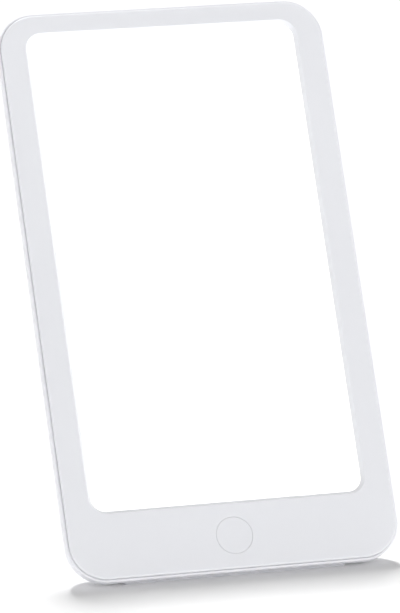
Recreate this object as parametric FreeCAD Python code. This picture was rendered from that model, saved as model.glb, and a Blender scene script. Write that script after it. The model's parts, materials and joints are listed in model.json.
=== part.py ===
import FreeCAD, Part
import math
import os

from FreeCAD import Vector

# Light therapy lamp: a flat lit panel that leans back on a folding leg. Millimetres.
# Every piece is drawn with the lamp lying face up: x to the right, y from the bottom edge to the
# top edge, z out of the front face, which is at z = 0. The leg is drawn folded, then swung open.
# stand_up() leans the lamp back and puts the middle of its front foot on the origin.

# ---- case ----
case_w = 140.0  # width over the housing
case_h = 241.6  # height over the housing
corner_r = 16.0  # corners of the outline
side_straight = 2.3  # flat part of the side wall, before it curves to the back
side_wall = 2.2
back_wall = 1.8
rim_w = 0.9  # edge of the housing that shows round the bezel
rim_drop = 1.2  # the rim lies this far behind the front face
rim_edge_r = 0.4
shadow_gap = 0.15  # groove between rim and bezel
lean_deg = 30.0  # the face leans back this far from upright

# ---- bezel ----
bezel_t = 2.0
bezel_edge_r = 0.8
side_band = 12.8  # outline to window, left and right
top_band = 10.0  # outline to window, top
window_r = 6.0
slope_w = 1.4  # sloped edge round the window, seen from the front
slope_d = 1.6  # how far the slope falls
skirt_t = 1.2  # wall behind the bezel that drops inside the housing
skirt_d = 2.6
frame_t = 1.0  # frame behind the bezel that locates the diffuser
frame_d = 1.9
bezel_boss_r = 2.6
bezel_boss_l = 7.0
pilot_cap = 0.7  # solid left between a boss's hole and the bezel's plate

# ---- snap hooks between bezel and housing ----
hook_l = 8.0
hook_h = 1.2
hook_reach = 0.45
hook_up = 0.2  # lower edge of a hook above the skirt's end
hook_side_pitch = 80.0  # three hooks on each long side
hook_top_pitch = 70.0  # two hooks at the top

# ---- optical stack ----
gasket_t = 0.4
diffuser_t = 2.0
film_t = 0.2
guide_t = 2.5
reflector_t = 0.2
spreader_t = 1.0
panel_over = 2.0  # diffuser past the window's edge
guide_over = 2.1  # light guide past the window's edge
layer_gap = 0.05  # between the sheets

# ---- light strips ----
led_l = 3.0
led_h = 2.4
led_t = 0.8
led_pitch = 5.0
led_gap = 0.2  # light guide to the LEDs
led_board_t = 1.0
led_board_h = 3.35
led_board_inset = 1.5  # ends of the boards inside the light guide's ends
tab_w = 7.0  # screw tabs of the heat spreader
tab_reach = 3.6
tab_hole = 2.1  # from the flange to the middle of a tab's hole
tab_pitch = 75.0  # three tabs on each long side
spreader_over = 0.3

# ---- stand ----
leg_w = 54.0
leg_t = 4.0
leg_r = 6.0  # corners of its foot end
leg_edge_r = 0.5
hinge_up = 128.0  # hinge above the bottom edge
leg_back_deg = 18.0  # the open leg leans back this far from upright
pin_r = 1.0
knuckle_r = 2.2
heel_l = 3.8  # heel of the leg above the pin, which bears on the stop
heel_t = 2.0
washer_t = 0.6
washer_space = 1.0  # knuckle's end to the recess wall
pin_hold = 4.5  # how far the pin goes into the housing
hinge_boss_end = 1.3  # boss past the pin's end
hinge_boss_wall = 2.0  # boss round the pin
recess_wall = 1.6
back_air = 0.7  # heat spreader to the recess wall
cell_rim = 4.0  # ribs round the hollows in the leg's inner face
cell_d = 1.8
cell_count = 3
cell_r = 2.0

# ---- feet ----
foot_in = 23.0  # ends of the foot inside the case's sides
foot_w = 5.0
foot_sunk = 1.0
foot_proud = 0.7
pad_w = 40.0
pad_t = 1.8
tongue_w = 34.0
tongue_t = 1.6
tongue_d = 2.0

# ---- finger dish below the leg ----
dish_r = 11.0
dish_d = 3.0
dish_in = 4.0  # middle of the dish above the end of the recess

# ---- power button and its switch ----
button_r = 7.6
button_gap = 0.08  # between the button and its hole
button_up = 14.7
button_top_t = 1.5
button_edge_r = 0.15
button_travel = 0.6
flange_reach = 1.1  # flange past the hole in the bezel
flange_t = 1.0
flange_gap = 0.3
collar_t = 1.2
stem_r = 2.2
shell_t = 1.2  # side wall of the hollow button
switch_w = 6.0
switch_h = 2.5
plunger_r = 1.75
plunger_sunk = 0.6
plunger_floor = 0.2  # free depth under the pressed plunger

# ---- control board ----
board_in = 25.0  # ends of the board inside the case's sides
board_gap = 1.6  # board to the heat spreader's lower edge
board_t = 1.2
board_up = 4.6
board_air = 0.6  # back of the board to the recess wall
board_screw_in = 12.5  # from the board's ends
board_screw_low = 4.0  # from the board's lower and upper edges
inductor_w = 9.0
inductor_h = 4.0
inductor_r = 1.5
inductor_x = 23.0  # left of the middle
capacitor_x = 23.0  # right of the middle
capacitor_r = 2.5
capacitor_h = 4.6
capacitor_pitch = 7.0
chip_l = 5.0
chip_w = 4.0
chip_h = 1.6
chip_x = 11.5
chip_in = 4.0  # middle of a chip inside the board's edge
small_edge = 0.4
plug_l = 6.0  # connectors of the light strips
plug_w = 5.0
plug_h = 3.2
plug_in = 2.0  # from the board's end
plug_down = 1.0  # from the board's upper edge

# ---- power inlet for a 5.5 mm barrel plug ----
jack_over = 3.0  # its axis above the end of the round corner
jack_room = 3.6  # from it to the light guide's lower edge, with the wires' lane between
jack_air = 0.6  # bezel to its body
jack_body_l = 10.3
jack_body_w = 9.0
jack_body_h = 7.0
jack_nose_r = 3.4
jack_nose_l = 3.4
jack_bore_r = 2.85
jack_bore_l = 9.5
jack_pin_r = 1.05
jack_root_r = 1.4
jack_root_l = 2.6  # root of the centre pin, behind the bore
jack_pin_sunk = 0.8  # tip of the centre pin inside the mouth
jack_sunk = 2.1  # mouth inside the housing's side
seat_r = 4.3  # round seat for the plug's collar
seat_d = 1.3
cradle_t = 0.9
rib_t = 1.2

# ---- screws and bosses ----
case_screw_in = 19.0  # from the case's sides
case_screw_up = 13.5
case_screw_r = 1.0
case_screw_l = 8.0
case_head_r = 2.0
case_head_h = 1.4
case_boss_r = 3.2
head_sunk = 0.15
small_screw_r = 0.75
small_screw_l = 2.6
small_head_r = 1.8
small_head_h = 1.1
small_boss_r = 2.2
slot_t = 0.5  # cross in a screw head
slot_share = 0.7  # cross length over head diameter
slot_d = 0.6
head_round = 0.3  # rounding over head height

# ---- wires ----
bend_share = 0.45  # of the shorter run that a bend takes
wire_r = 0.5
wire_apart = 1.4
wire_out = 2.6  # straight out of a connector
wire_rise = 3.6  # from there to the lane along the light guide's lower edge
wire_lane = 1.1  # lane below the light guide
wire_turn = 3.7  # where it leaves the lane, before the strip
wire_step = 0.5
power_wire_r = 0.6
power_wire_apart = 2.6
power_wire_gap = 0.3  # wire to the screw boss that it passes
power_wire_rise = 4.5
power_pad = 1.2  # wire end inside the board's end

# ---- clearances ----
fit_gap = 0.05  # screws and pins in their holes, board and sheet edges
seat_gap = 0.1  # between pieces that lie on each other
wall_gap = 0.15  # skirt to the housing's wall
running_gap = 0.05  # pin in the leg, plunger in the switch
loose_gap = 0.3  # round the button's flange, the diffuser and the gasket's window
leg_gap = 0.3  # leg to the sides of its recess
leg_floor_gap = 0.2  # leg to the floor of its recess
stop_gap = 0.05  # heel to the stop
past = 1.0  # cutting tools run this far past a face
near = 1e-4  # places closer than this are the same

# ---- places worked out from the sizes ----
half_w = case_w / 2
leg_back = math.radians(leg_back_deg)
lean = math.radians(lean_deg)
open_deg = lean_deg + leg_back_deg

foot_half = half_w - foot_in
board_x = half_w - board_in
board_screw_x = board_x - board_screw_in
case_screw_x = half_w - case_screw_in

jack_up = corner_r + jack_over
jack_depth = bezel_t + jack_air + jack_body_h / 2
chin = jack_up + jack_body_w / 2 + jack_room + guide_over  # outline to window, bottom

window_x = half_w - side_band
window_y0 = chin
window_y1 = case_h - top_band

bezel_back = -bezel_t
gasket_back = bezel_back - gasket_t
diffuser_back = gasket_back - diffuser_t
film_front = diffuser_back - layer_gap
guide_front = film_front - film_t - layer_gap
guide_back = guide_front - guide_t
reflector_front = guide_back - layer_gap
spreader_front = reflector_front - reflector_t - layer_gap
spreader_back = spreader_front - spreader_t
block_front = spreader_back - back_air
recess_floor = block_front - recess_wall
back = recess_floor - leg_floor_gap - leg_t
back_inside = back + back_wall
back_edge_r = -back - rim_drop - side_straight
curve_z = back + back_edge_r
cavity_edge_r = back_edge_r - (side_wall + back_wall) / 2

guide_x = window_x + guide_over
guide_y0 = window_y0 - guide_over
guide_y1 = window_y1 + guide_over
led_x = guide_x + led_gap
strip_x = led_x + led_t
flange_x = strip_x + led_board_t
flange_out = flange_x + spreader_t
tab_x = flange_out + tab_hole
strip_y0 = guide_y0 + led_board_inset
strip_y1 = guide_y1 - led_board_inset
middle_y = (window_y0 + window_y1) / 2

bezel_inset = rim_w + shadow_gap
skirt_inset = side_wall + wall_gap
hook_z0 = bezel_back - skirt_d + hook_up

pin_y = hinge_up
pin_z = back + knuckle_r

board_back = block_front + board_air
board_front = board_back + board_t
board_y1 = guide_y0 - spreader_over - board_gap
board_middle = (board_up + board_y1) / 2

button_hole_r = button_r + button_gap
flange_r = button_hole_r + flange_reach
flange_front = bezel_back - flange_gap
flange_back = flange_front - flange_t
switch_front = board_front + switch_h
plunger_hole_back = switch_front - plunger_sunk - button_travel - plunger_floor

jack_mouth = half_w - jack_sunk
jack_body_x1 = jack_mouth - jack_nose_l
jack_body_x0 = jack_body_x1 - jack_body_l

boss_back = bezel_back - bezel_boss_l


def floor_height():
    """Height of the standing surface in the leaned lamp, measured from its bottom front edge."""
    lowest = back_edge_r * math.cos(lean) + curve_z * math.sin(lean) - back_edge_r
    return lowest - foot_proud


def foot_back():
    """How far the line on which the front foot stands lies behind the bottom front edge."""
    return back_edge_r * math.sin(lean) - curve_z * math.cos(lean)


def stand_up(shape):
    """Lean a lying piece back and set the lamp on its feet."""
    out = shape.copy()
    out.rotate(Vector(0, 0, 0), Vector(1, 0, 0), 90 - lean_deg)
    out.translate(Vector(0, -foot_back(), -floor_height()))
    return out


def lie_down(shape):
    """The opposite of stand_up, for shapes that are level when the lamp stands."""
    out = shape.copy()
    out.translate(Vector(0, foot_back(), floor_height()))
    out.rotate(Vector(0, 0, 0), Vector(1, 0, 0), lean_deg - 90)
    return out


def swing_open(shape):
    """Turn a folded piece of the stand about the hinge pin until it bears on its stop."""
    out = shape.copy()
    out.rotate(Vector(0, pin_y, pin_z), Vector(1, 0, 0), open_deg)
    return out


def box(x0, x1, y0, y1, z0, z1):
    return Part.makeBox(x1 - x0, y1 - y0, z1 - z0, Vector(x0, y0, z0))


def rod(r, start, end):
    """A cylinder between two points."""
    along = Vector(*end) - Vector(*start)
    return Part.makeCylinder(r, along.Length, Vector(*start), along)


def outline(x0, x1, y0, y1, r, z):
    """A rectangle with round corners, as a closed wire at height z."""
    k = r * (1 - math.sqrt(0.5))
    corners = [(x1, y0, 1, -1), (x1, y1, 1, 1), (x0, y1, -1, 1), (x0, y0, -1, -1)]
    edges = []
    last = Vector(x0 + r, y0, z)
    for number, (x, y, sx, sy) in enumerate(corners):
        on_y = Vector(x, y - sy * r, z)
        on_x = Vector(x - sx * r, y, z)
        start, end = (on_x, on_y) if number % 2 == 0 else (on_y, on_x)
        edges.append(Part.LineSegment(last, start).toShape())
        edges.append(Part.Arc(start, Vector(x - sx * k, y - sy * k, z), end).toShape())
        last = end
    return Part.Wire(edges)


def plate(x0, x1, y0, y1, r, z0, z1):
    """A flat piece with round corners."""
    face = Part.Face(outline(x0, x1, y0, y1, r, z0))
    return face.extrude(Vector(0, 0, z1 - z0))


def case_plate(inset, z0, z1):
    """A plate that follows the case's outline, a given distance inside it."""
    return plate(inset - half_w, half_w - inset, inset, case_h - inset, corner_r - inset, z0, z1)


def window_plate(margin, z0, z1, r=None):
    """A plate that follows the window, a given distance outside it."""
    radius = window_r + margin if r is None else r
    x1 = window_x + margin
    return plate(-x1, x1, window_y0 - margin, window_y1 + margin, radius, z0, z1)


def edges_at(shape, z):
    """Every edge that lies flat at height z."""
    return [e for e in shape.Edges if abs(e.BoundBox.ZMin - z) < near and abs(e.BoundBox.ZMax - z) < near]


def screw(head_r, head_h, shank_r, shank_l):
    """A screw that points along -z, with the underside of its head at z = 0."""
    head = Part.makeCylinder(head_r, head_h)
    head = head.makeFillet(head_h * head_round, edges_at(head, head_h))
    half = head_r * slot_share
    for a, b in ((half, slot_t / 2), (slot_t / 2, half)):
        head = head.cut(box(-a, a, -b, b, head_h - slot_d, head_h + past))
    shank = Part.makeCylinder(shank_r, shank_l, Vector(0, 0, -shank_l))
    shank = shank.makeChamfer(shank_r / 2, edges_at(shank, -shank_l))
    return head.fuse(shank).removeSplitter()


def tube(points, r):
    """A wire along straight runs that are joined by tangent arcs."""
    pts = [Vector(*p) for p in points]
    edges = []
    last = pts[0]
    for before, here, after in zip(pts, pts[1:], pts[2:]):
        run_in = here - before
        run_out = after - here
        turn = run_in.getAngle(run_out)
        reach = bend_share * min(run_in.Length, run_out.Length)
        bend = reach / math.tan(turn / 2)
        start = here - run_in.normalize() * reach
        end = here + run_out.normalize() * reach
        inward = (start + end) * 0.5 - here
        middle = here + inward.normalize() * (math.hypot(bend, reach) - bend)
        edges.append(Part.LineSegment(last, start).toShape())
        edges.append(Part.Arc(start, middle, end).toShape())
        last = end
    edges.append(Part.LineSegment(last, pts[-1]).toShape())
    path = Part.Wire(edges)
    section = Part.Wire(Part.Circle(pts[0], pts[1] - pts[0], r).toShape())
    return path.makePipeShell([section], True, False)


def mirrored(shape):
    """The same piece on the other side of the lamp's middle plane."""
    return shape.mirror(Vector(0, 0, 0), Vector(1, 0, 0))


def hook_places():
    """Middle, direction along the wall and outward direction of each snap hook."""
    out = []
    for side in (-1, 1):
        for step in (-1, 0, 1):
            out.append((side * (half_w - skirt_inset), middle_y + step * hook_side_pitch, side, 0))
    for step in (-0.5, 0.5):
        out.append((step * hook_top_pitch, case_h - skirt_inset, 0, 1))
    return out


def hook_box(place, grow, reach):
    """The block of one hook, or of its pocket when it is grown by a clearance."""
    x, y, ox, oy = place
    half = hook_l / 2 + grow
    z0 = hook_z0 - grow
    z1 = hook_z0 + hook_h + grow
    depth = skirt_t / 2
    if ox:
        a, b = sorted((x - ox * depth, x + ox * reach))
        return box(a, b, y - half, y + half, z0, z1)
    return box(x - half, x + half, y - oy * depth, y + oy * reach, z0, z1)


def tab_places():
    """Middle of each screw tab of the heat spreader."""
    return [(side * tab_x, middle_y + step * tab_pitch) for side in (-1, 1) for step in (-1, 0, 1)]


def board_screw_places():
    low = board_up + board_screw_low
    high = board_y1 - board_screw_low
    return [(side * board_screw_x, y) for side in (-1, 1) for y in (low, high)]


def cavity_inset(z):
    """How far the inside of the housing lies inside its outline at height z."""
    below = max(0, back_inside + cavity_edge_r - z)
    return side_wall + cavity_edge_r - math.sqrt(cavity_edge_r**2 - below**2)


def outer_case():
    """The case as a solid, with its straight sides curving into the flat back."""
    body = case_plate(0, back, -rim_drop)
    body = body.makeFillet(back_edge_r, edges_at(body, back))
    return body.makeFillet(rim_edge_r, edges_at(body, -rim_drop))


def hinge_height():
    """Height of the pin above the standing surface."""
    return pin_y * math.cos(lean) + pin_z * math.sin(lean) - floor_height()


def leg_reach(height):
    """Length of the leg from the pin to a level at a given height, along its outer face."""
    return (hinge_height() - height + knuckle_r * math.sin(leg_back)) / math.cos(leg_back)


def recess_end():
    return pin_y - leg_reach(0) - leg_gap


def swept(r, half):
    """A cylinder about the hinge's axis."""
    return rod(r, (-half, pin_y, pin_z), (half, pin_y, pin_z))


def leg_recess():
    """The space that the folded leg fills, with the room that its knuckle and heel turn in."""
    half = leg_w / 2 + leg_gap
    flat = plate(-half, half, recess_end(), pin_y + leg_r, leg_r, back - past, recess_floor)
    flat = flat.cut(box(-half - past, half + past, pin_y, pin_y + leg_r + past, back - 2 * past, 0))
    trough = swept(knuckle_r + leg_floor_gap, half)
    heel_r = math.hypot(heel_l, knuckle_r) + leg_gap
    front = pin_z - (knuckle_r - heel_t) + stop_gap
    above = box(-half - past, half + past, pin_y, pin_y + 2 * heel_r, pin_z - 2 * heel_r, front)
    heel_room = swept(heel_r, half).common(swing_open(above))
    mouth = box(-half, half, pin_y, pin_y + heel_r, back - past, pin_z)
    return flat.fuse([trough, heel_room, mouth])


def foot_block(grow):
    """The front foot, level when the lamp stands, or its pocket when it is grown."""
    length = foot_half + grow
    width = foot_w / 2 + grow
    return lie_down(box(-length, length, -width, width, 0, foot_proud + foot_sunk + grow))


def rear_housing():
    outer = outer_case()
    cavity = case_plate(side_wall, back_inside, past)
    cavity = cavity.makeFillet(cavity_edge_r, edges_at(cavity, back_inside))
    ledge = case_plate(rim_w, bezel_back - fit_gap, past)
    shell = outer.cut([cavity, ledge])

    # what stands inside: the walls of the leg's recess, the dish and the hinge, and the bosses
    half = leg_w / 2 + leg_gap + recess_wall
    low = recess_end() - recess_wall
    top = pin_y + math.hypot(heel_l, knuckle_r) + leg_gap + recess_wall
    block = plate(-half, half, low, top, leg_r + recess_wall, back, block_front)
    dish_y = recess_end() + dish_in
    dish_block = Part.makeCylinder(
        dish_r + recess_wall, dish_d + recess_wall, Vector(0, dish_y, back)
    )
    inside = [block, dish_block]
    boss_half = leg_w / 2 + leg_gap + pin_hold + hinge_boss_end
    wall = pin_r + hinge_boss_wall
    inside.append(box(-boss_half, boss_half, pin_y - wall, pin_y + wall, back, pin_z + wall))
    for x in (-case_screw_x, case_screw_x):
        z1 = boss_back - seat_gap
        inside.append(rod(case_boss_r, (x, case_screw_up, back), (x, case_screw_up, z1)))
    for x, y in tab_places():
        inside.append(rod(small_boss_r, (x, y, back), (x, y, spreader_back)))
    for x, y in board_screw_places():
        inside.append(rod(small_boss_r, (x, y, back), (x, y, board_back)))
    inside += jack_cradle()
    shell = shell.fuse([piece.common(outer) for piece in inside])

    # what is cut away
    cuts = [leg_recess(), foot_block(seat_gap)]
    cuts.append(Part.makeCylinder(dish_r, dish_d + past, Vector(0, dish_y, back - past)))
    blind = hinge_boss_end - boss_half
    cuts.append(rod(pin_r + fit_gap, (blind, pin_y, pin_z), (boss_half + past, pin_y, pin_z)))
    head_back = back + case_head_h + head_sunk
    for x in (-case_screw_x, case_screw_x):
        y = case_screw_up
        cuts.append(rod(case_head_r + wall_gap, (x, y, back - past), (x, y, head_back)))
        cuts.append(rod(case_screw_r + wall_gap, (x, y, back), (x, y, 0)))
    for x, y in tab_places():
        cuts.append(rod(small_screw_r + fit_gap, (x, y, spreader_back - small_screw_l), (x, y, 0)))
    for x, y in board_screw_places():
        cuts.append(rod(small_screw_r + fit_gap, (x, y, board_back - small_screw_l), (x, y, 0)))
    for place in hook_places():
        cuts.append(hook_box(place, wall_gap, wall_gap + hook_reach + wall_gap))
    cuts.append(jack_block(seat_gap))
    axis = (jack_up, -jack_depth)
    cuts.append(rod(jack_nose_r + seat_gap, (jack_body_x1 - fit_gap, *axis), (half_w + past, *axis)))
    cuts.append(rod(seat_r, (half_w - seat_d, *axis), (half_w + past, *axis)))
    return shell.cut(cuts)


def jack_block(grow):
    """The square body of the power inlet, or its pocket when it is grown by a clearance."""
    y = jack_body_w / 2 + grow
    z = jack_body_h / 2 + grow
    x0 = jack_body_x0 - grow
    x1 = jack_body_x1 + grow
    return box(x0, x1, jack_up - y, jack_up + y, -jack_depth - z, z - jack_depth)


def jack_cradle():
    """Ribs that the power inlet lies on and between."""
    out = []
    half = jack_body_w / 2
    low = -jack_depth - jack_body_h / 2
    x0 = jack_body_x0 + cradle_t
    x1 = jack_body_x1 - cradle_t
    y0 = jack_up - half
    y1 = jack_up + half
    for x in (x0, x1 - rib_t):
        out.append(box(x, x + rib_t, y0 - cradle_t, y1 + cradle_t, back, low - seat_gap))
    for y in (y0 - seat_gap - cradle_t, y1 + seat_gap):
        out.append(box(x0, x1, y, y + cradle_t, back, -jack_depth))
    return out


def front_bezel():
    body = case_plate(bezel_inset, bezel_back, 0)
    body = body.makeFillet(bezel_edge_r, edges_at(body, 0))
    skirt_z = bezel_back - skirt_d
    skirt = case_plate(skirt_inset, skirt_z, bezel_back)
    skirt = skirt.cut(case_plate(skirt_inset + skirt_t, skirt_z - past, bezel_back + past))
    jack_half = jack_body_w / 2 + cradle_t + seat_gap
    skirt = skirt.cut(
        box(0, half_w, jack_up - jack_half, jack_up + jack_half, skirt_z - past, bezel_back)
    )
    locate = panel_over + loose_gap
    frame = window_plate(locate + frame_t, bezel_back - frame_d, bezel_back)
    frame = frame.cut(window_plate(locate, bezel_back - frame_d - past, bezel_back + past))
    middle = (0, button_up)
    collar_r = flange_r + loose_gap
    collar_bore = rod(collar_r, (*middle, diffuser_back - past), (*middle, bezel_back))
    collar = rod(collar_r + collar_t, (*middle, diffuser_back), (*middle, bezel_back))
    collar = collar.cut([collar_bore, window_plate(locate, diffuser_back - past, bezel_back + past)])
    parts = [skirt, frame, collar]
    for x in (-case_screw_x, case_screw_x):
        parts.append(rod(bezel_boss_r, (x, case_screw_up, boss_back), (x, case_screw_up, bezel_back)))
    parts += [hook_box(place, 0, hook_reach) for place in hook_places()]
    body = body.fuse(parts)

    # the collar's bore also clears the frame where they meet
    cuts = [window_plate(0, bezel_back - past, past)]
    cuts.append(collar_bore)
    x1 = window_x
    wires = []
    for share in (0, 1 + past / slope_d):
        grow = slope_w * share
        level = -slope_d + slope_d * share
        wires.append(
            outline(-x1 - grow, x1 + grow, window_y0 - grow, window_y1 + grow, window_r + grow, level)
        )
    cuts.append(Part.makeLoft(wires, True, True))
    hole = rod(button_hole_r, (*middle, bezel_back - past), (*middle, past))
    cuts.append(hole)
    for x in (-case_screw_x, case_screw_x):
        top = bezel_back - pilot_cap
        pilot = rod(case_screw_r + fit_gap, (x, case_screw_up, boss_back - past), (x, case_screw_up, top))
        cuts.append(pilot)
    body = body.cut(cuts)
    ring = [
        e
        for e in edges_at(body, 0)
        if hasattr(e.Curve, "Radius") and abs(e.Curve.Radius - button_hole_r) < near
    ]
    return body.makeFillet(button_edge_r, ring)


def diffuser_gasket():
    ring = window_plate(panel_over, gasket_back, bezel_back - fit_gap)
    return ring.cut(window_plate(loose_gap, gasket_back - past, 0))


def diffuser_panel():
    return window_plate(panel_over, diffuser_back, gasket_back)


def guide_sheet(z0, z1):
    return plate(-guide_x, guide_x, guide_y0, guide_y1, window_r / 2, z0, z1)


def heat_spreader():
    y0 = guide_y0 - spreader_over
    y1 = guide_y1 + spreader_over
    tray = box(-flange_out, flange_out, y0, y1, spreader_back, spreader_front)
    inset = cavity_inset(spreader_back) + loose_gap
    tray = tray.common(case_plate(inset, spreader_back, spreader_front))
    top = spreader_front + fit_gap + led_board_h
    flange = box(flange_x, flange_out, strip_y0, strip_y1, spreader_front, top)
    parts = [flange, mirrored(flange)]
    for x, y in tab_places():
        a, b = sorted((math.copysign(flange_x, x), math.copysign(flange_out + tab_reach, x)))
        parts.append(plate(a, b, y - tab_w / 2, y + tab_w / 2, spreader_t, spreader_back, spreader_front))
    tray = tray.fuse(parts)
    holes = [
        rod(small_screw_r + wall_gap, (x, y, spreader_back - past), (x, y, spreader_front + past))
        for x, y in tab_places()
    ]
    return tray.cut(holes).removeSplitter()


def led_board():
    """Light strip of the right side: a narrow metal-core board on edge."""
    z0 = spreader_front + fit_gap
    return box(strip_x, flange_x, strip_y0, strip_y1, z0, z0 + led_board_h)


def leds():
    """LED packages of the right strip, each one a solid of its own."""
    length = strip_y1 - strip_y0 - 2 * led_l
    count = int(length / led_pitch) + 1
    first = (strip_y0 + strip_y1) / 2 - (count - 1) * led_pitch / 2
    z0 = (guide_front + guide_back) / 2 - led_h / 2
    out = []
    for number in range(count):
        y = first + number * led_pitch
        out.append(box(led_x, strip_x, y - led_l / 2, y + led_l / 2, z0, z0 + led_h))
    return Part.makeCompound(out)


def spreader_screws():
    one = screw(small_head_r, small_head_h, small_screw_r, small_screw_l + spreader_t - seat_gap)
    out = []
    for x, y in tab_places():
        out.append(one.translated(Vector(x, y, spreader_front)))
    return Part.makeCompound(out)


def control_board():
    body = plate(-board_x, board_x, board_up, board_y1, board_t, board_back, board_front)
    holes = [
        rod(small_screw_r + wall_gap, (x, y, board_back - past), (x, y, board_front + past))
        for x, y in board_screw_places()
    ]
    return body.cut(holes)


def board_screws():
    one = screw(small_head_r, small_head_h, small_screw_r, small_screw_l + board_t - seat_gap)
    out = []
    for x, y in board_screw_places():
        out.append(one.translated(Vector(x, y, board_front)))
    return Part.makeCompound(out)


def driver_inductor():
    half = inductor_w / 2
    x = -inductor_x
    y = board_middle
    top = board_front + inductor_h
    body = plate(x - half, x + half, y - half, y + half, inductor_r, board_front, top)
    return body.makeChamfer(small_edge, edges_at(body, top))


def filter_capacitors():
    top = board_front + capacitor_h
    out = []
    for step in (-0.5, 0.5):
        x = capacitor_x + step * capacitor_pitch
        can = rod(capacitor_r, (x, board_middle, board_front), (x, board_middle, top))
        out.append(can.makeFillet(small_edge, edges_at(can, top)))
    return Part.makeCompound(out)


def chip(x, y):
    dx = chip_l / 2
    dy = chip_w / 2
    body = box(x - dx, x + dx, y - dy, y + dy, board_front, board_front + chip_h)
    return body.makeChamfer(small_edge / 2, edges_at(body, board_front + chip_h))


def led_connectors():
    x1 = board_x - plug_in
    y1 = board_y1 - plug_down
    right = box(x1 - plug_l, x1, y1 - plug_w, y1, board_front, board_front + plug_h)
    return Part.makeCompound([right, mirrored(right)])


def led_wires():
    """Two wires from the right connector to the lower end of the right light strip."""
    start_x = board_x - plug_in
    start_y = board_y1 - plug_down - plug_w / 2
    end_x = strip_x + led_board_t / 2
    middle_z = board_front + plug_h / 2
    lane_y = guide_y0 - wire_lane
    out = []
    for step in (-0.5, 0.5):
        z = middle_z + step * wire_apart
        points = [(start_x, start_y, z)]
        points.append((start_x + wire_out, start_y, z))
        points.append((start_x + wire_out + wire_rise, lane_y, z))
        points.append((end_x - wire_turn, lane_y, z))
        points.append((end_x, lane_y + wire_step, z))
        points.append((end_x, strip_y0, z))
        out.append(tube(points, wire_r))
    return Part.makeCompound(out)


def jack_wires():
    """Two wires from the power inlet to the control board."""
    z = board_front + power_wire_r
    lowest = case_screw_up + bezel_boss_r + power_wire_gap + power_wire_r
    out = []
    for number, step in enumerate((-0.5, 0.5)):
        y = jack_up + step * power_wire_apart
        low = lowest + number * power_wire_apart
        points = [(jack_body_x0, y, z), (jack_body_x0 - wire_out, y, z)]
        points.append((jack_body_x0 - wire_out - power_wire_rise, low, z))
        points.append((board_x - power_pad, low, z))
        out.append(tube(points, power_wire_r))
    return Part.makeCompound(out)


def dc_jack_body():
    axis = (jack_up, -jack_depth)
    nose = rod(jack_nose_r, (jack_body_x1 - past, *axis), (jack_mouth, *axis))
    body = jack_block(0).fuse(nose)
    bore_end = jack_mouth - jack_bore_l
    bore = rod(jack_bore_r, (bore_end, *axis), (jack_mouth + past, *axis))
    root = rod(jack_root_r, (bore_end - jack_root_l, *axis), (bore_end + past, *axis))
    return body.cut([bore, root])


def dc_jack_pin():
    axis = (jack_up, -jack_depth)
    bore_end = jack_mouth - jack_bore_l
    tip = jack_mouth - jack_pin_sunk
    pin = rod(jack_pin_r, (bore_end, *axis), (tip, *axis))
    ends = [e for e in pin.Edges if abs(e.BoundBox.XMin - tip) < near]
    pin = pin.makeFillet(jack_pin_r / 2, ends)
    return pin.fuse(rod(jack_root_r, (bore_end - jack_root_l, *axis), (bore_end, *axis)))


def tact_switch_body():
    half = switch_w / 2
    body = box(-half, half, button_up - half, button_up + half, board_front, switch_front)
    hole = rod(plunger_r + running_gap, (0, button_up, plunger_hole_back), (0, button_up, 0))
    return body.cut(hole)


def switch_plunger():
    return rod(plunger_r, (0, button_up, switch_front - plunger_sunk), (0, button_up, flange_back))


def power_button():
    middle = (0, button_up)
    cap = rod(button_r, (*middle, flange_back), (*middle, 0))
    cap = cap.makeFillet(button_edge_r, edges_at(cap, 0))
    flange = rod(flange_r, (*middle, flange_back), (*middle, flange_front))
    hollow = rod(button_r - shell_t, (*middle, flange_back - past), (*middle, -button_top_t))
    stem = rod(stem_r, (*middle, flange_back), (*middle, -button_top_t))
    return cap.fuse(flange).cut(hollow).fuse(stem).removeSplitter()


def case_screws():
    one = screw(case_head_r, case_head_h, case_screw_r, case_screw_l)
    one.rotate(Vector(0, 0, 0), Vector(0, 1, 0), 180)
    out = []
    for x in (-case_screw_x, case_screw_x):
        out.append(one.translated(Vector(x, case_screw_up, back + case_head_h + head_sunk)))
    return Part.makeCompound(out)


def leg_slab(reach):
    """The leg's plate, folded, down to a given distance from the pin."""
    half = leg_w / 2
    z1 = back + leg_t
    body = plate(-half, half, pin_y - reach, pin_y + leg_r, leg_r, back, z1)
    narrow = half - washer_space + leg_gap
    top = pin_y - knuckle_r - leg_gap
    return body.common(
        box(-half, half, pin_y - reach - past, top, back, z1).fuse(
            box(-narrow, narrow, pin_y - reach - past, pin_y, back, z1)
        )
    )


def stand_leg():
    reach = leg_reach(pad_t)
    slab = leg_slab(reach)
    z1 = back + leg_t
    rims = edges_at(slab, back) + edges_at(slab, z1)
    rims = [e for e in rims if e.BoundBox.YMax < pin_y - knuckle_r - 2 * leg_gap]
    slab = slab.makeFillet(leg_edge_r, rims)

    # hollows in the inner face leave ribs round and between them
    low = pin_y - reach + 2 * cell_rim
    high = pin_y - knuckle_r - cell_rim
    pitch = (high - low + cell_rim) / cell_count
    half = leg_w / 2 - cell_rim
    for number in range(cell_count):
        y0 = low + number * pitch
        slab = slab.cut(plate(-half, half, y0, y0 + pitch - cell_rim, cell_r, z1 - cell_d, z1 + past))

    narrow = leg_w / 2 - washer_space + leg_gap
    knuckle = swept(knuckle_r, narrow)
    heel = box(-narrow, narrow, pin_y, pin_y + heel_l, back, back + heel_t)
    body = slab.fuse([knuckle, heel]).cut(swept(pin_r + running_gap, leg_w))
    body = swing_open(body)
    return body.cut([level_slab(-pad_t, pad_t), pad_tongue(seat_gap)])


def level_slab(z0, z1):
    """Everything under the leg between two heights above the standing surface."""
    return lie_down(box(-case_w, case_w, 0, 2 * case_h, z0, z1))


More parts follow.
